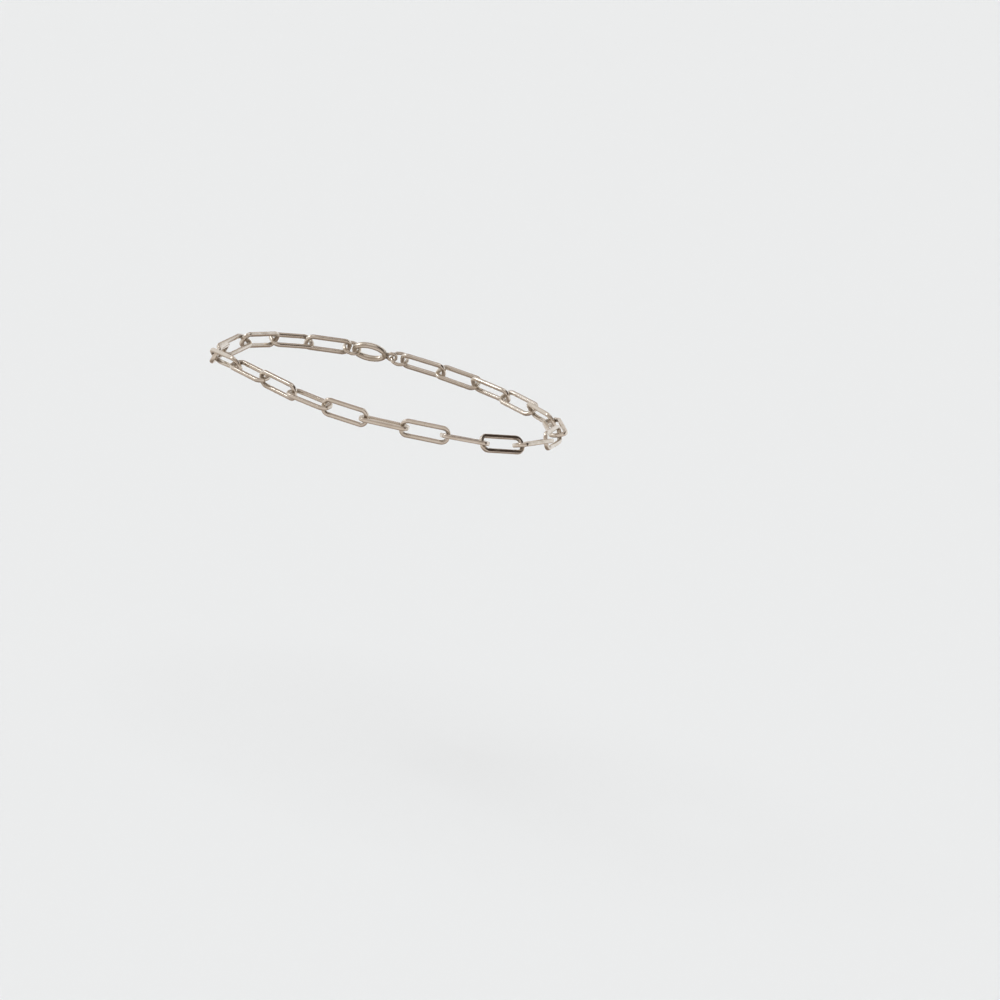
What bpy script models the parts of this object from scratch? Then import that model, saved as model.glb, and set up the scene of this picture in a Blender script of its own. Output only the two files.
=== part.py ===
"""Chain anklet: one closed loop of long round-ended links of squared silver wire, with its clasp.

Frame: metres, +Z up. The loop lies level, open in the middle, in the oval that it takes when worn.
The origin is the centre of the opening, +X points to the front and -Y to the outer side, and the
clasp lies on the inner side. Each link hooks through the next one, turned about a quarter turn
round the chain's own line.
"""
import math
from collections import namedtuple

import bmesh
import bpy
from mathutils import Matrix, Vector

# Chain link, bent from squared wire
LINK_COUNT = 22
LINK_LENGTH = 0.0126
LINK_WIDTH = 0.0049
LINK_CORNER_RADIUS = 0.0015     # of the wire's centre line
LINK_CORNER_STEPS = 3
WIRE_WIDTH = 0.00105            # across the link's flat face
WIRE_THICKNESS = 0.00105        # through the link
WIRE_FLAT_SHARE = 0.62          # the part of the width that is flat

# Jump rings, one at each end of the clasp
RING_OUTER_DIAMETER = 0.0050
RING_WIRE_DIAMETER = 0.0009
RING_STEPS = 16
RING_WIRE_SIDES = 6

# Clasp: a closed oval claw with a small eye fused to its back end
CLASP_LENGTH = 0.0120
CLAW_LENGTH = 0.0092
CLAW_WIDTH = 0.0056
CLAW_WALL = 0.0013
CLAW_THICKNESS = 0.0018
CLAW_STEPS = 24
CLAW_WALL_SIDES = 8
EYE_HOLE_DIAMETER = 0.0015
EYE_WALL = 0.0008
EYE_STEPS = 16
EYE_WALL_SIDES = 6

# Where pieces hook, their walls stay this far apart
HOOK_GAP = 0.0003

# Polished silver with a faint warm tone; the cast clasp is the softest of the three
Metal = namedtuple("Metal", "name colour roughness")
METALS = {
    "link": Metal("link_silver", (0.79, 0.74, 0.67), 0.14),
    "ring": Metal("jump_ring_silver", (0.79, 0.75, 0.69), 0.18),
    "clasp": Metal("clasp_silver", (0.78, 0.74, 0.68), 0.20),
}

# How the links lie along the outer side, in order from the back to the front: which way the outer
# side of each one faces, seen from above; the lean of the pair of directions that the links take by
# turns; and how high each one starts.
Lie = namedtuple("Lie", "normal_deg lean_deg start_height")
OUTER_SIDE = (
    Lie(normal_deg=172, lean_deg=-70, start_height=-0.0015),
    Lie(normal_deg=216, lean_deg=-42, start_height=-0.0006),
    Lie(normal_deg=226, lean_deg=-18, start_height=0.0004),
    Lie(normal_deg=231, lean_deg=-21, start_height=0.00035),
    Lie(normal_deg=239, lean_deg=-11, start_height=0.0),
    Lie(normal_deg=251, lean_deg=-8, start_height=-0.00015),
    Lie(normal_deg=262, lean_deg=2, start_height=-0.0002),
    Lie(normal_deg=273, lean_deg=-8, start_height=0.00015),
    Lie(normal_deg=287, lean_deg=12, start_height=0.0002),
    Lie(normal_deg=302, lean_deg=42, start_height=-0.0002),
    Lie(normal_deg=320, lean_deg=22, start_height=-0.0002),
    Lie(normal_deg=344, lean_deg=20, start_height=0.00025),
    Lie(normal_deg=372, lean_deg=20, start_height=0.00015),
    Lie(normal_deg=391, lean_deg=40, start_height=0.00045),
)
LINKS_BEFORE_CLASP = 18
QUARTER_TURN_DEG = 90

# The inner side closes the loop: its bends are an even one and two slow waves, found step by step
EVEN_BEND_START_DEG = 11
CLOSING_STEPS = 12
BEND_NUDGE = 0.001
WELD_DISTANCE = 1e-6

Piece = namedtuple("Piece", "name kind inner_length")


def clear_scene():
    for old in list(bpy.data.objects):
        bpy.data.objects.remove(old, do_unlink=True)


def new_collection(name):
    collection = bpy.data.collections.new(name)
    bpy.context.scene.collection.children.link(collection)
    return collection


def new_material(metal):
    material = bpy.data.materials.new(metal.name)
    material.use_nodes = True
    shader = material.node_tree.nodes["Principled BSDF"]
    shader.inputs["Base Color"].default_value = (*metal.colour, 1.0)
    shader.inputs["Metallic"].default_value = 1.0
    shader.inputs["Roughness"].default_value = metal.roughness
    return material


def start_height(index):
    return OUTER_SIDE[index].start_height if index < len(OUTER_SIDE) else 0.0


def lean(index, piece_count):
    """Lean of a piece: listed on the outer side, then turning evenly until it fits link_01 again.

    With an odd number of pieces the one before link_01 lies a quarter turn on.
    """
    if index < len(OUTER_SIDE):
        return OUTER_SIDE[index].lean_deg
    last_listed = len(OUTER_SIDE) - 1
    closing_lean = OUTER_SIDE[0].lean_deg + QUARTER_TURN_DEG * (piece_count % 2)
    share = (index - last_listed) / (piece_count - last_listed)
    return OUTER_SIDE[-1].lean_deg * (1 - share) + closing_lean * share


def piece_normals(bend_waves, piece_count):
    """Directions that the pieces face, in order, and the one that the walk round would end with."""
    normals = [math.radians(lie.normal_deg) for lie in OUTER_SIDE]
    bend_count = piece_count - len(OUTER_SIDE) + 1
    for place in range(bend_count):
        share = (place + 0.5) / bend_count
        waves = Vector((1.0, math.cos(math.pi * share), math.cos(2 * math.pi * share)))
        normals.append(normals[-1] + bend_waves.dot(waves))
    return normals[:-1], normals[-1]


def walk_joints(pieces, bend_waves):
    """Joints between the pieces, one after another, and the miss in x, y and turn at the end."""
    normals, last_normal = piece_normals(bend_waves, len(pieces))
    joints = [Vector((0, 0, start_height(0)))]
    for index, piece in enumerate(pieces):
        pitch = piece.inner_length - HOOK_GAP
        climb = start_height((index + 1) % len(pieces)) - start_height(index)
        level = math.sqrt(pitch ** 2 - climb ** 2)
        normal = normals[index]
        joints.append(joints[-1] + Vector((-math.sin(normal) * level, math.cos(normal) * level, climb)))
    gap = joints[-1] - joints[0]
    return joints, Vector((gap.x, gap.y, last_normal - normals[0] - 2 * math.pi))


def close_loop(pieces):
    """Joints of the loop whose inner side brings the last piece back to the first, centred."""
    bend_waves = Vector((math.radians(EVEN_BEND_START_DEG), 0, 0))
    for _ in range(CLOSING_STEPS):
        _, miss = walk_joints(pieces, bend_waves)
        changes = []
        for axis in range(3):
            nudged = bend_waves.copy()
            nudged[axis] += BEND_NUDGE
            changes.append((walk_joints(pieces, nudged)[1] - miss) / BEND_NUDGE)
        bend_waves -= Matrix(changes).transposed().inverted() @ miss
    joints, _ = walk_joints(pieces, bend_waves)
    middle_x = (min(joint.x for joint in joints) + max(joint.x for joint in joints)) / 2
    middle_y = (min(joint.y for joint in joints) + max(joint.y for joint in joints)) / 2
    return [joint - Vector((middle_x, middle_y, 0)) for joint in joints]


def piece_frame(start, end, roll_deg):
    """Frame of a piece: X along the chain, Y across its flat face, turned round X by its roll."""
    along = (end - start).normalized()
    outward = along.cross(Vector((0, 0, 1))).normalized()
    upward = outward.cross(along)
    roll = math.radians(roll_deg)
    across = outward * math.sin(roll) - upward * math.cos(roll)
    face = along.cross(across)
    turn = Matrix((along, across, face)).transposed().to_4x4()
    return Matrix.Translation((start + end) / 2) @ turn


def closed_curve(name, points):
    """Flat closed curve through the points; a section runs clockwise and a path the other way."""
    curve = bpy.data.curves.new(name, "CURVE")
    curve.dimensions = "2D"
    curve.fill_mode = "NONE"
    spline = curve.splines.new("POLY")
    spline.points.add(len(points) - 1)
    for spline_point, (x, y) in zip(spline.points, points):
        spline_point.co = (x, y, 0.0, 1.0)
    spline.use_cyclic_u = True
    return curve


def guide_object(name, curve, guides):
    guide = bpy.data.objects.new(name, curve)
    guide.hide_render = True
    guide.display_type = "WIRE"
    guides.objects.link(guide)
    return guide


def ellipse_points(centre_x, half_length, half_width, steps):
    turns = [2 * math.pi * step / steps for step in range(steps)]
    return [(centre_x + half_length * math.cos(turn), half_width * math.sin(turn)) for turn in turns]


def wire_section_points():
    """Six-sided section of the squared wire: flat front and back, blunt inner and outer edges."""
    edge, flat = WIRE_WIDTH / 2, WIRE_WIDTH * WIRE_FLAT_SHARE / 2
    face = WIRE_THICKNESS / 2
    return [(edge, 0), (flat, -face), (-flat, -face), (-edge, 0), (-flat, face), (flat, face)]


def link_centre_line():
    """Centre line of the wire: a long rectangle with four round corners."""
    half_length = (LINK_LENGTH - WIRE_WIDTH) / 2 - LINK_CORNER_RADIUS
    half_width = (LINK_WIDTH - WIRE_WIDTH) / 2 - LINK_CORNER_RADIUS
    points = []
    for quarter, (side_x, side_y) in enumerate(((1, 1), (-1, 1), (-1, -1), (1, -1))):
        for step in range(LINK_CORNER_STEPS + 1):
            turn = math.pi / 2 * (quarter + step / LINK_CORNER_STEPS)
            points.append((side_x * half_length + LINK_CORNER_RADIUS * math.cos(turn),
                           side_y * half_width + LINK_CORNER_RADIUS * math.sin(turn)))
    return points


def swept_curve(name, path_points, section_guide):
    curve = closed_curve(name, path_points)
    curve.dimensions = "3D"
    curve.twist_mode = "Z_UP"
    curve.bevel_mode = "OBJECT"
    curve.bevel_object = section_guide
    return curve


def mesh_from_curve(name, curve, collection):
    """Mesh object with a curve's swept shape."""
    swept = bpy.data.objects.new(name + "_curve", curve)
    collection.objects.link(swept)
    evaluated = swept.evaluated_get(bpy.context.evaluated_depsgraph_get())
    mesh = bpy.data.meshes.new_from_object(evaluated)
    mesh.name = name
    bpy.data.objects.remove(swept, do_unlink=True)
    edit = bmesh.new()
    edit.from_mesh(mesh)
    bmesh.ops.remove_doubles(edit, verts=edit.verts, dist=WELD_DISTANCE)
    bmesh.ops.recalc_face_normals(edit, faces=edit.faces)
    edit.to_mesh(mesh)
    edit.free()
    made = bpy.data.objects.new(name, mesh)
    collection.objects.link(made)
    return made


def make_torus(name, centre, middle_diameter, wall, steps, sides, collection):
    bpy.ops.mesh.primitive_torus_add(
        major_radius=middle_diameter / 2, minor_radius=wall / 2,
        major_segments=steps, minor_segments=sides, location=centre)
    torus = bpy.context.object
    torus.name = name
    torus.data.name = name
    torus.data.shade_smooth()
    for owner in list(torus.users_collection):
        owner.objects.unlink(torus)
    collection.objects.link(torus)
    return torus


def clasp_inner_ends():
    """Inner faces of the clasp along its length, at the eye and at the claw, from its middle."""
    eye_end = -CLASP_LENGTH / 2 + EYE_WALL
    claw_end = CLASP_LENGTH / 2 - CLAW_WALL
    return eye_end, claw_end


def make_clasp(material, anklet, guides):
    """Oval claw with its eye fused on; its origin lies halfway between its two inner faces."""
    eye_end, claw_end = clasp_inner_ends()
    origin = (eye_end + claw_end) / 2
    wall_guide = guide_object("claw_wall_section", closed_curve(
        "claw_wall_section", ellipse_points(0, CLAW_WALL / 2, CLAW_THICKNESS / 2, CLAW_WALL_SIDES)), guides)
    claw_centre = CLASP_LENGTH / 2 - CLAW_LENGTH / 2 - origin
    path = ellipse_points(claw_centre, (CLAW_LENGTH - CLAW_WALL) / 2, (CLAW_WIDTH - CLAW_WALL) / 2,
                          CLAW_STEPS)
    clasp = mesh_from_curve("clasp", swept_curve("claw", path, wall_guide), anklet)
    eye_centre = eye_end + EYE_HOLE_DIAMETER / 2 - origin
    eye = make_torus("clasp_eye", (eye_centre, 0, 0), EYE_HOLE_DIAMETER + EYE_WALL, EYE_WALL,
                     EYE_STEPS, EYE_WALL_SIDES, guides)
    eye.hide_render = True
    eye.display_type = "WIRE"
    fuse = clasp.modifiers.new("fuse eye", "BOOLEAN")
    fuse.operation = "UNION"
    fuse.solver = "EXACT"
    fuse.object = eye
    eye.parent = clasp
    clasp.data.materials.append(material)
    return clasp


def make_ring(name, material, anklet):
    ring = make_torus(name, (0, 0, 0), RING_OUTER_DIAMETER - RING_WIRE_DIAMETER, RING_WIRE_DIAMETER,
                      RING_STEPS, RING_WIRE_SIDES, anklet)
    ring.data.materials.append(material)
    return ring


def list_pieces():
    """The loop's pieces in order, from the back along the outer side and round."""
    eye_end, claw_end = clasp_inner_ends()
    ring_inner = RING_OUTER_DIAMETER - 2 * RING_WIRE_DIAMETER
    link_inner = LINK_LENGTH - 2 * WIRE_WIDTH
    links = [Piece(f"link_{number:02d}", "link", link_inner) for number in range(1, LINK_COUNT + 1)]
    fastening = [
        Piece("jump_ring_1", "ring", ring_inner),
        Piece("clasp", "clasp", claw_end - eye_end),
        Piece("jump_ring_2", "ring", ring_inner),
    ]
    return links[:LINKS_BEFORE_CLASP] + fastening + links[LINKS_BEFORE_CLASP:]


def build_anklet():
    clear_scene()
    anklet = new_collection("chain_anklet")
    guides = new_collection("guides")
    materials = {kind: new_material(metal) for kind, metal in METALS.items()}

    section = guide_object("wire_section", closed_curve("wire_section", wire_section_points()), guides)
    link_curve = swept_curve("link", link_centre_line(), section)
    link_curve.materials.append(materials["link"])

    pieces = list_pieces()
    joints = close_loop(pieces)
    for index, piece in enumerate(pieces):
        if piece.kind == "link":
            made = bpy.data.objects.new(piece.name, link_curve)
            anklet.objects.link(made)
        elif piece.kind == "ring":
            made = make_ring(piece.name, materials["ring"], anklet)
        else:
            made = make_clasp(materials["clasp"], anklet, guides)
        roll = lean(index, len(pieces)) + QUARTER_TURN_DEG * ((index + 1) % 2)
        made.matrix_world = piece_frame(joints[index], joints[index + 1], roll)


build_anklet()
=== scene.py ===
import math

import bmesh
import bpy
import numpy as np
from mathutils import Matrix, Vector


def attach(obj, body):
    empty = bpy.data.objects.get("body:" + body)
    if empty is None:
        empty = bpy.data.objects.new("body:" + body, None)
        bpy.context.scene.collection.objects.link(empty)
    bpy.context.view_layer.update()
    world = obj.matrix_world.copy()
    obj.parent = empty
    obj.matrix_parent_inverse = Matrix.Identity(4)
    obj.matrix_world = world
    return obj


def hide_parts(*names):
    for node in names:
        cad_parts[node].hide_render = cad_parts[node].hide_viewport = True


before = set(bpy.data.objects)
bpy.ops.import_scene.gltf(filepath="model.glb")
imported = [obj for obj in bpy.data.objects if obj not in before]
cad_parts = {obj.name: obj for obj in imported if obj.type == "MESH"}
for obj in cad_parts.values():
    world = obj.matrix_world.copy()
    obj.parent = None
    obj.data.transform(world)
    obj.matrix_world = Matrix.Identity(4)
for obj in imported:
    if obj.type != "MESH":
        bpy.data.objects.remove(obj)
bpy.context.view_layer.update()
mm = 0.001
print("chain anklet: frame loaded,", len(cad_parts), "pieces")


def linear(hexColour):
    # sRGB hex to the linear colour that the shaders take
    parts = [int(hexColour[place:place + 2], 16) / 255 for place in (1, 3, 5)]
    return tuple(part / 12.92 if part <= 0.04045 else ((part + 0.055) / 1.055) ** 2.4
                 for part in parts) + (1.0,)


def addNode(tree, kind, settings=None, inputs=None):
    node = tree.nodes.new(kind)
    for name, value in (settings or {}).items():
        setattr(node, name, value)
    for name, value in (inputs or {}).items():
        if isinstance(value, bpy.types.NodeSocket):
            tree.links.new(value, node.inputs[name])
        else:
            node.inputs[name].default_value = value
    return node


def newMaterial(name):
    material = bpy.data.materials.new(name)
    material.use_nodes = True
    material.node_tree.nodes.clear()
    return material, material.node_tree


# Camera: the photograph's long lens, from a little above and tilted
photoView = {
    "elevationDeg": 14.363,
    "rollDeg": 12.569,
    "distanceMm": 1300,
    "focalPx": 5200,
    "widthPx": 1000,
    "loopCentrePx": (388.03, 389.31),
    "sensorMm": 36,
    "clipMm": (50, 50000),
}


def placeCamera(look):
    elevation, roll = math.radians(look["elevationDeg"]), math.radians(look["rollDeg"])
    back = Vector((0, -math.cos(elevation), math.sin(elevation)))
    right = Vector((1, 0, 0))
    up = back.cross(right)
    rolledRight = right * math.cos(roll) + up * math.sin(roll)
    rolledUp = up * math.cos(roll) - right * math.sin(roll)
    looking = Matrix((rolledRight, rolledUp, back)).transposed()
    half = look["widthPx"] / 2
    centreX, centreY = look["loopCentrePx"]
    toCentre = Vector(((centreX - half) / look["focalPx"], (half - centreY) / look["focalPx"], -1))
    aim = Vector((0, 0, -1)).rotation_difference(toCentre).to_matrix()
    data = bpy.data.cameras.new("photoCamera")
    data.sensor_width = look["sensorMm"]
    data.lens = look["focalPx"] * look["sensorMm"] / look["widthPx"]
    data.clip_start, data.clip_end = (reach * mm for reach in look["clipMm"])
    camera = bpy.data.objects.new("photoCamera", data)
    bpy.context.scene.collection.objects.link(camera)
    stand = Matrix.Translation(back * look["distanceMm"] * mm)
    camera.matrix_world = stand @ (looking @ aim.transposed()).to_4x4()
    bpy.context.scene.camera = camera


placeCamera(photoView)
print("camera placed")

upWeight = 0.9       # a piece's face is turned outward or up, and up counts a little less
roundFrom = 0.9      # a piece whose two wide spreads are this alike is a ring


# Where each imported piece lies: its middle, its own axes and its size along them
def lieOf(name):
    corners = np.array([corner.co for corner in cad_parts[name].data.vertices])
    low, high = corners.min(axis=0), corners.max(axis=0)
    spreads, axes = np.linalg.eigh(np.cov((corners - (low + high) / 2).T))
    face = Vector(axes[:, 0])
    outward = Vector((low + high) / 2).normalized()
    roundLoop = Vector((0, 0, 1)).cross(outward)
    if face.dot(outward + Vector((0, 0, upWeight))) < 0:
        face.negate()
    isRound = spreads[1] > roundFrom * spreads[2]      # a ring has no long axis of its own
    along = (roundLoop - face * roundLoop.dot(face)).normalized() if isRound else Vector(axes[:, 2])
    if along.dot(roundLoop) < 0:
        along.negate()
    across = face.cross(along)
    turned = corners @ np.array([along, across, face]).T
    turn = Matrix((along, across, face)).transposed()
    middle = turn @ Vector((turned.min(axis=0) + turned.max(axis=0)) / 2)
    size = Vector(turned.max(axis=0) - turned.min(axis=0))
    return Matrix.Translation(middle) @ turn.to_4x4(), size


def shownPiece(name, mesh, material, place, nodeName):
    placed = mesh.copy()
    placed.name = name
    placed.transform(place)
    placed.materials.append(material)
    piece = bpy.data.objects.new(name, placed)
    bpy.context.scene.collection.objects.link(piece)
    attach(piece, "root")
    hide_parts(nodeName)
    return piece


# Sweeps a section along a flat path. A station is (x, y, outward x, outward y, size), and a point of
# the section is (outward, up). The mesh keeps where each corner lies in the wire, in millimetres:
# outward, up and along, for the materials.
def sweptMesh(name, path, section, closed=True):
    edit = bmesh.new()
    wirePlace = edit.loops.layers.float_vector.new("wirePlace")
    rows, lengths = [], [0.0]
    for x, y, outX, outY, size in path:
        rows.append([edit.verts.new((x + outX * out * size, y + outY * out * size, up * size))
                     for out, up in section])
    for here, there in zip(path, path[1:] + path[:1]):
        lengths.append(lengths[-1] + math.hypot(there[0] - here[0], there[1] - here[1]))
    for i in range(len(path) if closed else len(path) - 1):
        near, far = rows[i], rows[(i + 1) % len(rows)]
        for j in range(len(section)):
            k = (j + 1) % len(section)
            face = edit.faces.new((near[j], far[j], far[k], near[k]))
            for loop, (point, station) in zip(face.loops, ((j, i), (j, i + 1), (k, i + 1), (k, i))):
                loop[wirePlace] = Vector((*section[point], lengths[station])) / mm
    if not closed:
        for row in (rows[0], rows[-1]):
            edit.faces.new(row)
    bmesh.ops.recalc_face_normals(edit, faces=edit.faces)
    mesh = bpy.data.meshes.new(name)
    edit.to_mesh(mesh)
    edit.free()
    mesh.shade_smooth()
    return mesh


def wireLength(mesh):
    return max(corner.vector.z for corner in mesh.attributes["wirePlace"].data)


# Section of squared wire: four gently swollen faces that run smoothly into four round edges
def squaredSection(width, look):
    swell = math.radians(look["faceSwellDeg"])
    edgeRound, edgeSteps, faceSteps = look["edgeRoundMm"] * mm, look["edgeSteps"], look["faceSteps"]
    half = width / 2
    faceRound = ((half - edgeRound * (math.cos(swell) - math.sin(swell)))
                 / (1 - math.cos(swell) + math.sin(swell)))
    faceMiddle, edgeMiddle = half - faceRound, (faceRound - edgeRound) * math.sin(swell)
    points = []
    for quarter in range(4):
        for step in range(faceSteps):
            turn = swell * (2 * step / faceSteps - 1)
            points.append((faceMiddle + faceRound * math.cos(turn), faceRound * math.sin(turn), quarter))
        for step in range(edgeSteps):
            turn = swell + (math.pi / 2 - 2 * swell) * step / edgeSteps
            points.append((edgeMiddle + edgeRound * math.cos(turn),
                           edgeMiddle + edgeRound * math.sin(turn), quarter))
    section = []
    for x, y, quarter in points:
        for _ in range(quarter):
            x, y = -y, x
        section.append((x, y))
    return section


def roundSection(width, thickness, steps):
    return [(width / 2 * math.cos(2 * math.pi * step / steps),
             thickness / 2 * math.sin(2 * math.pi * step / steps)) for step in range(steps)]


# The links: long loops with round corners, bent from squared silver wire
linkLook = {
    "bendRadiusMm": 1.5,      # of the wire's middle line
    "bendSteps": 14,
    "straightSteps": 6,
    "edgeRoundMm": 0.27,
    "edgeSteps": 5,
    "faceSwellDeg": 11,
    "faceSteps": 4,
}


def linkPath(length, width, wire, look):
    bend = look["bendRadiusMm"] * mm
    halfLength, halfWidth = (length - wire) / 2 - bend, (width - wire) / 2 - bend
    path = []
    for quarter, (sideX, sideY) in enumerate(((1, 1), (-1, 1), (-1, -1), (1, -1))):
        for step in range(look["bendSteps"] + 1):
            turn = math.pi / 2 * (quarter + step / look["bendSteps"])
            outX, outY = math.cos(turn), math.sin(turn)
            path.append((sideX * halfLength + bend * outX, sideY * halfWidth + bend * outY, outX, outY, 1))
        if quarter in (0, 2):
            x, y, outX, outY, size = path[-1]
            for step in range(1, look["straightSteps"]):
                path.append((x - sideX * 2 * halfLength * step / look["straightSteps"], y, outX, outY, size))
    return path


# Jump rings: round wire, cut and closed again, with its ends eased
ringLook = {
    "wireMm": 0.9,
    "wireSteps": 24,
    "ringSteps": 72,
    "cutDeg": 62,             # from the chain's line
    "cutWidthMm": 0.05,
    "endRoundMm": 0.09,
    "endSteps": 4,
}


def ringPath(diameter, look):
    radius = (diameter - look["wireMm"] * mm) / 2
    wireHalf, endRound = look["wireMm"] / 2, look["endRoundMm"]
    cut = math.radians(look["cutDeg"])
    gap = look["cutWidthMm"] * mm / radius / 2
    ease = endRound * mm / radius
    turns = []
    for step in range(look["endSteps"]):
        inward = step / look["endSteps"]
        size = (wireHalf - endRound * (1 - math.sqrt(1 - (1 - inward) ** 2))) / wireHalf
        turns.append((gap + ease * inward, size))
    first = gap + ease
    span = 2 * math.pi - 2 * first
    middleTurns = [(first + span * step / look["ringSteps"], 1.0) for step in range(look["ringSteps"] + 1)]
    turns = turns + middleTurns + [(2 * math.pi - turn, size) for turn, size in reversed(turns)]
    return [(radius * math.cos(cut + turn), radius * math.sin(cut + turn),
             math.cos(cut + turn), math.sin(cut + turn), size) for turn, size in turns]


# Clasp: a cast oval claw with its eye grown into it, remeshed as one surface and eased
claspLook = {
    "clawLengthMm": 9.2,
    "wallMm": 1.3,
    "thicknessMm": 1.8,
    "eyeHoleMm": 1.5,
    "eyeWallMm": 0.8,
    "clawSteps": 120,
    "sectionSteps": 28,
    "eyeSteps": 60,
    "webMm": (1.1, 1.9, 1.15),      # metal that fills the corner between claw and eye
    "webPlaceMm": -3.1,
    "webSteps": (24, 16),
    "voxelMm": 0.075,
    "easeTimes": 8,
    "easeShare": 0.5,
    "leverFromDeg": 28,             # fine lines show where the lever is let in
    "leverToDeg": 146,
    "lineWidthMm": 0.14,
    "lineDepthMm": 0.06,
}


def ovalPath(middleX, halfLength, halfWidth, steps):
    path = []
    for step in range(steps):
        turn = 2 * math.pi * step / steps
        outX, outY = halfWidth * math.cos(turn), halfLength * math.sin(turn)
        reach = math.hypot(outX, outY)
        path.append((middleX + halfLength * math.cos(turn), halfWidth * math.sin(turn),
                     outX / reach, outY / reach, 1))
    return path


def claspSurface(length, clawPath, look):
    eyeWall = look["eyeWallMm"] * mm
    eyeX = -length / 2 + (look["eyeHoleMm"] / 2 + look["eyeWallMm"]) * mm
    eyeMiddle = (look["eyeHoleMm"] + look["eyeWallMm"]) / 2 * mm
    eyePath = ovalPath(eyeX, eyeMiddle, eyeMiddle, look["eyeSteps"])
    clawSection = roundSection(look["wallMm"] * mm, look["thicknessMm"] * mm, look["sectionSteps"])
    edit = bmesh.new()
    edit.from_mesh(sweptMesh("claw", clawPath, clawSection))
    edit.from_mesh(sweptMesh("eye", eyePath, roundSection(eyeWall, eyeWall, look["sectionSteps"])))
    webPlace = Matrix.Translation((look["webPlaceMm"] * mm, 0, 0))
    webSize = Matrix.Diagonal([part * mm / 2 for part in look["webMm"]] + [1])
    stepsRound, stepsUp = look["webSteps"]
    bmesh.ops.create_uvsphere(edit, u_segments=stepsRound, v_segments=stepsUp, radius=1,
                              matrix=webPlace @ webSize)
    rough = bpy.data.meshes.new("claspRough")
    edit.to_mesh(rough)
    edit.free()
    holder = bpy.data.objects.new("claspRough", rough)
    bpy.context.scene.collection.objects.link(holder)
    oneSurface = holder.modifiers.new("oneSurface", "REMESH")
    oneSurface.mode, oneSurface.voxel_size = "VOXEL", look["voxelMm"] * mm
    mesh = bpy.data.meshes.new_from_object(holder.evaluated_get(bpy.context.evaluated_depsgraph_get()))
    bpy.data.objects.remove(holder)
    return mesh


def claspMesh(length, width, look):
    wall = look["wallMm"] * mm
    halfLength, halfWidth = (look["clawLengthMm"] * mm - wall) / 2, (width - wall) / 2
    clawX = length / 2 - look["clawLengthMm"] * mm / 2
    mesh = claspSurface(length, ovalPath(clawX, halfLength, halfWidth, look["clawSteps"]), look)
    mesh.name = "anklet_clasp"
    edit = bmesh.new()
    edit.from_mesh(mesh)
    for _ in range(look["easeTimes"]):
        bmesh.ops.smooth_vert(edit, verts=edit.verts, factor=look["easeShare"],
                              use_axis_x=True, use_axis_y=True, use_axis_z=True)
    leverLine = edit.verts.layers.float.new("leverLine")
    claspPlace = edit.verts.layers.float_vector.new("claspPlace")
    edit.normal_update()
    for corner in edit.verts:
        x, y = corner.co.x - clawX, corner.co.y
        turn = math.degrees(math.atan2(y * halfLength, x * halfWidth))
        offDeg = min(abs(turn - look["leverFromDeg"]), abs(turn - look["leverToDeg"]))
        off = math.radians(offDeg) * math.hypot(x, y) / (look["lineWidthMm"] * mm / 2)
        near = max(0.0, 1 - off ** 2)
        corner[leverLine] = near
        corner[claspPlace] = corner.co / mm
        corner.co -= corner.normal * near * look["lineDepthMm"] * mm
    edit.to_mesh(mesh)
    edit.free()
    mesh.shade_smooth()
    return mesh


# Drawn silver wire. Lengths are in millimetres on the wire. Film sits where a cloth doesn't reach. The
# dark colour on the wire's inner side, in a link only at its bends, is part dirt and part painted shade,
# and neighbours rub the wire clean. A mask's pair says where it starts and where it is full.
wireFinish = {
    "silver": "#E9E3DA",
    "warmSilver": "#E3DCD1",             # the other end of the range from piece to piece
    "film": "#D0C5B4",                   # first thin tarnish, in patches
    # the next colour is part dirt and part painted shade, on the wire's inner side
    "darkening": "#75685A",
    "solder": "#B5A997",                 # a little greyer than the wire
    "filmMost": 0.38,
    "darkeningMost": 0.75,
    "solderMost": 0.3,
    "roughness": 0.13,
    "filmRoughness": 0.13,               # this and the next two are added to it
    "rubbedRoughness": 0.16,
    "darkeningRoughness": 0.2,
    "patternShift": 40.0,                # so that no two pieces have the same patches and marks
    "filmPatchMm": 3.0,
    "filmMask": (0.42, 0.68),
    "innerMaskMm": (0.1, -0.35),         # outward from the wire's middle
    "innermostMaskMm": (-0.15, -0.42),
    "bendMask": (-0.1, 0.75),            # from the middle of a straight side, -1, to a link's end, 1
    "contactMask": (0.8, 0.97),
    "ringContactMask": (0.3, 0.5),
    "speckMask": (0.25, 0.6),
    "solderMaskMm": (0.08, 0.032),       # to either side of the seam
    "solderDeepMm": 0.002,
    "hairlineMm": 0.3,                   # real ones are about 0.02 mm wide: as coarse as the render can show
    "hairlineLengthMm": 7.0,
    "hairlineDeepMm": 0.005,
    "tumbleMarkMm": 0.7,
    "tumbleMarkDeepMm": 0.018,
    "waveMm": 2.6,
    "waveDeepMm": 0.07,
}


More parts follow.
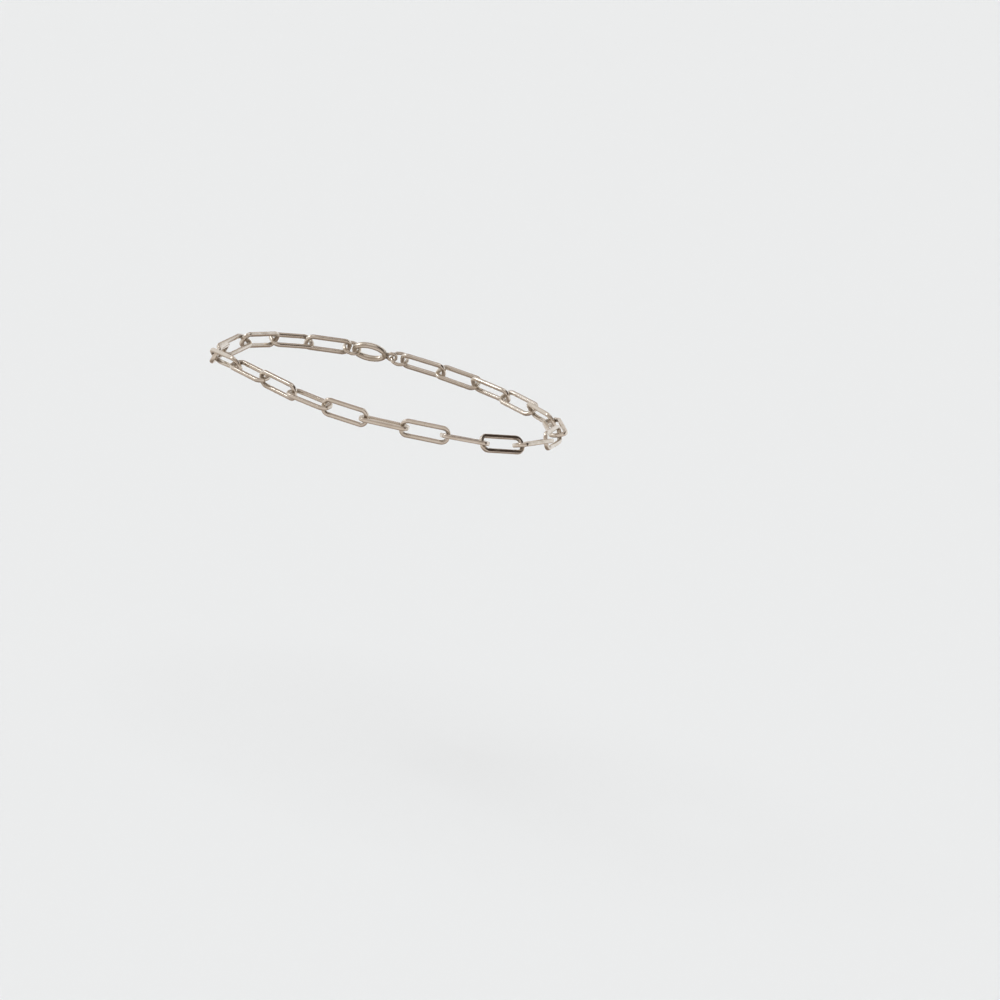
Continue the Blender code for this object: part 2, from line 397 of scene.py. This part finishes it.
def drawnSilverWire(name, finish, wireLengthMm, isLink):
    # Sterling silver, drawn to wire, bent, soldered and tumbled: a bright, faintly warm mirror with
    # hairlines along the wire, slow waves in its faces and a grey-brown colour in its bends that is part
    # dirt and part painted shade
    material, tree = newMaterial(name)
    onWire = addNode(tree, "ShaderNodeAttribute", {"attribute_name": "wirePlace"}).outputs["Vector"]
    wireParts = addNode(tree, "ShaderNodeSeparateXYZ", None, {0: onWire})
    outward, along = wireParts.outputs["X"], wireParts.outputs["Z"]
    inPlace = addNode(tree, "ShaderNodeTexCoord").outputs["Object"]
    inPlaceMm = addNode(tree, "ShaderNodeVectorMath", {"operation": "SCALE"}, {
        0: inPlace, "Scale": 1 / mm}).outputs[0]
    ownNumber = addNode(tree, "ShaderNodeObjectInfo").outputs["Random"]
    ownShift = addNode(tree, "ShaderNodeMath", {"operation": "MULTIPLY"}, {
        0: ownNumber, 1: finish["patternShift"]}).outputs[0]

    grain = {}
    hairlineSize = (finish["hairlineMm"], finish["hairlineMm"], finish["hairlineLengthMm"])
    for part, position, sizeMm, detail in (
            ("hairlines", onWire, hairlineSize, 3.0),
            ("marks", inPlaceMm, (finish["tumbleMarkMm"],) * 3, 2.0),
            ("waves", inPlaceMm, (finish["waveMm"],) * 3, 1.0),
            ("patches", inPlaceMm, (finish["filmPatchMm"],) * 3, 3.0)):
        scaled = addNode(tree, "ShaderNodeVectorMath", {"operation": "DIVIDE"}, {0: position, 1: sizeMm})
        grain[part] = addNode(tree, "ShaderNodeTexNoise", {"noise_dimensions": "4D"}, {
            "Vector": scaled.outputs[0], "W": ownShift, "Scale": 1.0, "Detail": detail}).outputs[0]

    # a link's ends, where its neighbours hang, are where its wire starts and half way round it
    turns = addNode(tree, "ShaderNodeMath", {"operation": "MULTIPLY"}, {
        0: along, 1: 4 * math.pi / wireLengthMm})
    endness = addNode(tree, "ShaderNodeMath", {"operation": "COSINE"}, {0: turns.outputs[0]}).outputs[0]
    seamMm = wireLengthMm / 4 if isLink else 0.0      # in the middle of a link's side, or at a ring's cut
    pastSeam = addNode(tree, "ShaderNodeMath", {"operation": "SUBTRACT"}, {0: along, 1: seamMm})
    fromSeam = addNode(tree, "ShaderNodeMath", {"operation": "ABSOLUTE"}, {
        0: pastSeam.outputs[0]}).outputs[0]

    masks = [("film", grain["patches"], "filmMask"),
             ("inner", outward, "innerMaskMm"),
             ("innermost", outward, "innermostMaskMm"),
             ("specks", grain["marks"], "speckMask"),
             ("solder", fromSeam, "solderMaskMm")]
    if isLink:
        masks += [("contact", endness, "contactMask"), ("bend", endness, "bendMask")]
        # dark on the inner side at a link's ends: part dirt, part painted shade where the links hook
        dirtAndShadePlace = ("inner", "bend", "specks")
    else:      # a jump ring turns, so its neighbours rub it all the way round
        masks += [("contact", grain["hairlines"], "ringContactMask")]
        dirtAndShadePlace = ("inner", "specks")
    share = {}
    for part, value, mask in masks:
        none, full = finish[mask]
        share[part] = addNode(tree, "ShaderNodeMapRange", {"interpolation_type": "SMOOTHSTEP"}, {
            "Value": value, "From Min": none, "From Max": full}).outputs[0]
    for part, factors in (("rubbed", ("inner", "innermost", "contact")), ("darkening", dirtAndShadePlace)):
        share[part] = share[factors[0]]
        for factor in factors[1:]:
            share[part] = addNode(tree, "ShaderNodeMath", {"operation": "MULTIPLY"}, {
                0: share[part], 1: share[factor]}).outputs[0]
    # the dark colour, part dirt and part painted shade, is taken off where neighbours rub the wire clean
    share["darkening"] = addNode(tree, "ShaderNodeMath", {"operation": "SUBTRACT", "use_clamp": True}, {
        0: share["darkening"], 1: share["rubbed"]}).outputs[0]

    silver, warmSilver = linear(finish["silver"]), linear(finish["warmSilver"])
    colour = addNode(tree, "ShaderNodeMix", {"data_type": "RGBA"}, {
        "Factor": ownNumber, "A": silver, "B": warmSilver}).outputs["Result"]
    # film, dirt with painted shade, and solder tint the wire's own colour in turn
    for part in ("film", "darkening", "solder"):
        amount = addNode(tree, "ShaderNodeMath", {"operation": "MULTIPLY"}, {
            0: share[part], 1: finish[part + "Most"]}).outputs[0]
        colour = addNode(tree, "ShaderNodeMix", {"data_type": "RGBA"}, {
            "Factor": amount, "A": colour, "B": linear(finish[part])}).outputs["Result"]
    roughness = finish["roughness"]
    for part in ("film", "rubbed", "darkening"):
        roughness = addNode(tree, "ShaderNodeMath", {"operation": "MULTIPLY_ADD"}, {
            0: share[part], 1: finish[part + "Roughness"], 2: roughness}).outputs[0]
    height = 0.0
    for part, deepMm in ((grain["waves"], finish["waveDeepMm"]), (grain["marks"], finish["tumbleMarkDeepMm"]),
                         (grain["hairlines"], finish["hairlineDeepMm"]),
                         (share["solder"], -finish["solderDeepMm"])):
        height = addNode(tree, "ShaderNodeMath", {"operation": "MULTIPLY_ADD"}, {
            0: part, 1: deepMm, 2: height}).outputs[0]
    relief = addNode(tree, "ShaderNodeBump", None, {"Strength": 1.0, "Distance": mm, "Height": height})
    shader = addNode(tree, "ShaderNodeBsdfPrincipled", None, {
        "Metallic": 1.0, "Base Color": colour, "Roughness": roughness, "Normal": relief.outputs[0]})
    addNode(tree, "ShaderNodeOutputMaterial", None, {"Surface": shader.outputs[0]})
    return material


linkNames = sorted(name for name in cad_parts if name.startswith("link_"))
linkSize = lieOf(linkNames[0])[1]
linkMesh = sweptMesh("anklet_link", linkPath(linkSize.x, linkSize.y, linkSize.z, linkLook),
                     squaredSection(linkSize.z, linkLook))
linkSilver = drawnSilverWire("drawnSquareSilverWire", wireFinish, wireLength(linkMesh), True)
for linkName in linkNames:
    shownPiece(linkName + "_wire", linkMesh, linkSilver, lieOf(linkName)[0], linkName)
print("links made,", len(linkNames))

ringNames = ("jump_ring_1", "jump_ring_2")
ringSize = lieOf(ringNames[0])[1]
ringWire = ringLook["wireMm"] * mm
ringMesh = sweptMesh("anklet_jump_ring", ringPath(ringSize.x, ringLook),
                     roundSection(ringWire, ringWire, ringLook["wireSteps"]), closed=False)
ringSilver = drawnSilverWire("drawnRoundSilverWire", wireFinish, wireLength(ringMesh), False)
for ringName in ringNames:
    shownPiece(ringName + "_wire", ringMesh, ringSilver, lieOf(ringName)[0], ringName)
print("jump rings made,", len(ringNames))

# Cast silver. Lengths are in millimetres on the clasp, and the masks are as in the wire's finish.
castFinish = {
    "silver": "#E4DED4",
    "film": "#C6B9A5",
    "darkening": "#62574C",
    "filmMost": 0.5,
    "darkeningMost": 0.9,
    "roughness": 0.2,
    "filmRoughness": 0.12,         # this and the next one are added to it
    "darkeningRoughness": 0.3,
    "filmPatchMm": 3.5,
    "filmMask": (0.4, 0.66),
    "lineMask": (0.25, 0.75),
    "jointMaskMm": (0.55, 0.0),    # dirt gathers round the joint between claw and eye
    "speckMask": (0.2, 0.65),
    "peelMm": 0.4,                 # what the mould leaves, eased by tumbling
    "peelDeepMm": 0.012,
    "waveMm": 3.0,
    "waveDeepMm": 0.08,
}


def castSilver(name, finish, jointMm):
    # Sterling silver, cast and tumble polished: a softer, slightly greyer mirror than drawn wire, with
    # a faint orange peel, and dark lines where the lever meets the claw
    material, tree = newMaterial(name)
    onClasp = addNode(tree, "ShaderNodeAttribute", {"attribute_name": "claspPlace"}).outputs["Vector"]
    inLine = addNode(tree, "ShaderNodeAttribute", {"attribute_name": "leverLine"}).outputs["Fac"]

    grain = {}
    for part, sizeMm, detail in (("peel", finish["peelMm"], 2.0),
                                 ("waves", finish["waveMm"], 1.0),
                                 ("patches", finish["filmPatchMm"], 3.0)):
        grain[part] = addNode(tree, "ShaderNodeTexNoise", None, {
            "Vector": onClasp, "Scale": 1 / sizeMm, "Detail": detail}).outputs[0]
    alongClasp = addNode(tree, "ShaderNodeSeparateXYZ", None, {0: onClasp}).outputs["X"]
    pastJoint = addNode(tree, "ShaderNodeMath", {"operation": "SUBTRACT"}, {0: alongClasp, 1: jointMm})
    fromJoint = addNode(tree, "ShaderNodeMath", {"operation": "ABSOLUTE"}, {
        0: pastJoint.outputs[0]}).outputs[0]

    share = {}
    for part, value, mask in (("film", grain["patches"], "filmMask"), ("line", inLine, "lineMask"),
                              ("joint", fromJoint, "jointMaskMm"), ("specks", grain["peel"], "speckMask")):
        none, full = finish[mask]
        share[part] = addNode(tree, "ShaderNodeMapRange", {"interpolation_type": "SMOOTHSTEP"}, {
            "Value": value, "From Min": none, "From Max": full}).outputs[0]
    jointDirt = addNode(tree, "ShaderNodeMath", {"operation": "MULTIPLY"}, {
        0: share["joint"], 1: share["specks"]})
    share["darkening"] = addNode(tree, "ShaderNodeMath", {"operation": "MAXIMUM"}, {
        0: share["line"], 1: jointDirt.outputs[0]}).outputs[0]

    colour, roughness, height = linear(finish["silver"]), finish["roughness"], 0.0
    for part in ("film", "darkening"):
        amount = addNode(tree, "ShaderNodeMath", {"operation": "MULTIPLY"}, {
            0: share[part], 1: finish[part + "Most"]}).outputs[0]
        colour = addNode(tree, "ShaderNodeMix", {"data_type": "RGBA"}, {
            "Factor": amount, "A": colour, "B": linear(finish[part])}).outputs["Result"]
        roughness = addNode(tree, "ShaderNodeMath", {"operation": "MULTIPLY_ADD"}, {
            0: share[part], 1: finish[part + "Roughness"], 2: roughness}).outputs[0]
    for part, deepMm in ((grain["peel"], finish["peelDeepMm"]), (grain["waves"], finish["waveDeepMm"])):
        height = addNode(tree, "ShaderNodeMath", {"operation": "MULTIPLY_ADD"}, {
            0: part, 1: deepMm, 2: height}).outputs[0]
    relief = addNode(tree, "ShaderNodeBump", None, {"Strength": 1.0, "Distance": mm, "Height": height})
    shader = addNode(tree, "ShaderNodeBsdfPrincipled", None, {
        "Metallic": 1.0, "Base Color": colour, "Roughness": roughness, "Normal": relief.outputs[0]})
    addNode(tree, "ShaderNodeOutputMaterial", None, {"Surface": shader.outputs[0]})
    return material


claspLies, claspSize = lieOf("clasp")
jointMm = claspSize.x / mm / 2 - claspLook["clawLengthMm"]      # where the claw's back meets the eye
shownPiece("clasp_body", claspMesh(claspSize.x, claspSize.y, claspLook),
           castSilver("castSilver", castFinish, jointMm), claspLies, "clasp")
print("clasp made")

# Studio: a pale floor and wall, a soft sky whose light and dark panels show in the metal, and two
# wide lights from far off, which light the floor evenly
studioLook = {
    "floorDropMm": 90,
    "floorReachMm": 6000,
    "floorColour": "#E2E7EA",
    "floorRoughness": 0.9,
    "skySteps": (               # height in the sky, as a sine, with its colour
        (-1.0, "#8C8077"),
        (-0.8, "#A79B91"),
        (-0.55, "#CFC5BD"),
        (-0.3, "#E1D9D3"),
        (0.0, "#DAD0C9"),
        (0.2, "#CABFB7"),
        (0.5, "#A99C93"),
        (0.85, "#B3A8A0"),
    ),
    "panels": (                 # turned to the right from the camera's side, with soft edges
        {"turnDeg": -130, "heightDeg": 16, "innerDeg": 34, "outerDeg": 60, "colour": "#ECE9E7"},
        {"turnDeg": 135, "heightDeg": 8, "innerDeg": 30, "outerDeg": 52, "colour": "#F2F1F1"},
        {"turnDeg": 200, "heightDeg": 16, "innerDeg": 5, "outerDeg": 14, "colour": "#E0D9D4"},
        {"turnDeg": 192, "heightDeg": 44, "innerDeg": 11, "outerDeg": 21, "colour": "#A3958B"},
        {"turnDeg": 89, "heightDeg": 54, "innerDeg": 16, "outerDeg": 25, "colour": "#3D322B"},
        {"turnDeg": 70, "heightDeg": 28, "innerDeg": 12, "outerDeg": 19, "colour": "#463B34"},
        {"turnDeg": 65, "heightDeg": 6, "innerDeg": 9, "outerDeg": 16, "colour": "#52463E"},
        {"turnDeg": 130, "heightDeg": -50, "innerDeg": 20, "outerDeg": 38, "colour": "#9A8C82"},
        {"turnDeg": 0, "heightDeg": 90, "innerDeg": 12, "outerDeg": 22, "colour": "#EFECE9"},
    ),
    "wallAwayMm": 4500,
    "wallHighMm": 4500,
    "wallSides": 96,
    "wallColour": "#ECECEC",    # as the floor looks when lit
    "lights": (
        {"name": "topLight", "turnDeg": -102, "heightDeg": 71, "wideDeg": 55,
         "power": 1.6, "mirrored": False},
        {"name": "keyLight", "turnDeg": -97, "heightDeg": 43, "wideDeg": 18,
         "power": 0.36, "mirrored": True},
    ),
}


def stagePiece(name, edit, material):
    mesh = bpy.data.meshes.new(name)
    edit.to_mesh(mesh)
    edit.free()
    mesh.materials.append(material)
    piece = bpy.data.objects.new(name, mesh)
    bpy.context.scene.collection.objects.link(piece)
    return piece


# Matt studio paper: one even tone without gloss
def placeFloor(look):
    material, tree = newMaterial("paleStudioPaper")
    shader = addNode(tree, "ShaderNodeBsdfPrincipled", None, {
        "Base Color": linear(look["floorColour"]), "Roughness": look["floorRoughness"]})
    addNode(tree, "ShaderNodeOutputMaterial", None, {"Surface": shader.outputs[0]})
    edit = bmesh.new()
    bmesh.ops.create_grid(edit, x_segments=1, y_segments=1, size=look["floorReachMm"] * mm)
    floor = stagePiece("paleFloor", edit, material)
    floor.location.z = -look["floorDropMm"] * mm
    floor.visible_glossy = False      # the metal shows the sky's lower half in its place


# A pale wall all round, so that low views end in the floor's own tone. Only the camera sees it.
def placeWall(look):
    material, tree = newMaterial("paleStudioWall")
    glow = addNode(tree, "ShaderNodeEmission", None, {"Color": linear(look["wallColour"])})
    addNode(tree, "ShaderNodeOutputMaterial", None, {"Surface": glow.outputs[0]})
    edit = bmesh.new()
    bmesh.ops.create_cone(edit, cap_ends=False, segments=look["wallSides"], depth=look["wallHighMm"] * mm,
                          radius1=look["wallAwayMm"] * mm, radius2=look["wallAwayMm"] * mm)
    wall = stagePiece("paleWall", edit, material)
    wall.visible_diffuse = wall.visible_glossy = wall.visible_transmission = wall.visible_shadow = False


def skyDirection(turnDeg, heightDeg):
    turn, tilt = math.radians(turnDeg), math.radians(heightDeg)
    return Vector((math.sin(turn) * math.cos(tilt), -math.cos(turn) * math.cos(tilt), math.sin(tilt)))


def fillSky(look):
    world = bpy.data.worlds.new("softStudio")
    world.use_nodes = True
    tree = world.node_tree
    direction = addNode(tree, "ShaderNodeTexCoord").outputs["Generated"]
    sine = addNode(tree, "ShaderNodeSeparateXYZ", None, {0: direction}).outputs["Z"]
    upShare = addNode(tree, "ShaderNodeMapRange", None, {"Value": sine, "From Min": -1.0}).outputs[0]
    ramp = addNode(tree, "ShaderNodeValToRGB", None, {0: upShare})
    steps = ramp.color_ramp.elements
    while len(steps) < len(look["skySteps"]):
        steps.new(1.0)      # moved to its own place below
    for step, (stepSine, stepColour) in zip(steps, look["skySteps"]):
        step.position, step.color = (stepSine + 1) / 2, linear(stepColour)
    colour = ramp.outputs["Color"]
    for panel in look["panels"]:
        middle = skyDirection(panel["turnDeg"], panel["heightDeg"])
        nearness = addNode(tree, "ShaderNodeVectorMath", {"operation": "DOT_PRODUCT"}, {
            0: direction, 1: middle}).outputs["Value"]
        onPanel = addNode(tree, "ShaderNodeMapRange", {"interpolation_type": "SMOOTHSTEP"}, {
            "Value": nearness,
            "From Min": math.cos(math.radians(panel["outerDeg"])),
            "From Max": math.cos(math.radians(panel["innerDeg"]))}).outputs[0]
        colour = addNode(tree, "ShaderNodeMix", {"data_type": "RGBA"}, {
            "Factor": onPanel, "A": colour, "B": linear(panel["colour"])}).outputs["Result"]
    tree.links.new(colour, tree.nodes["Background"].inputs["Color"])
    bpy.context.scene.world = world


def buildStudio(look):
    placeFloor(look)
    placeWall(look)
    fillSky(look)
    for light in look["lights"]:
        lamp = bpy.data.lights.new(light["name"], "SUN")
        lamp.angle = math.radians(light["wideDeg"])
        lamp.energy = light["power"]
        holder = bpy.data.objects.new(light["name"], lamp)
        bpy.context.scene.collection.objects.link(holder)
        direction = skyDirection(light["turnDeg"], light["heightDeg"])
        holder.matrix_world = direction.to_track_quat("Z", "Y").to_matrix().to_4x4()
        holder.visible_glossy = light["mirrored"]
    bpy.context.scene.view_settings.view_transform = "Standard"


buildStudio(studioLook)
print("studio made")
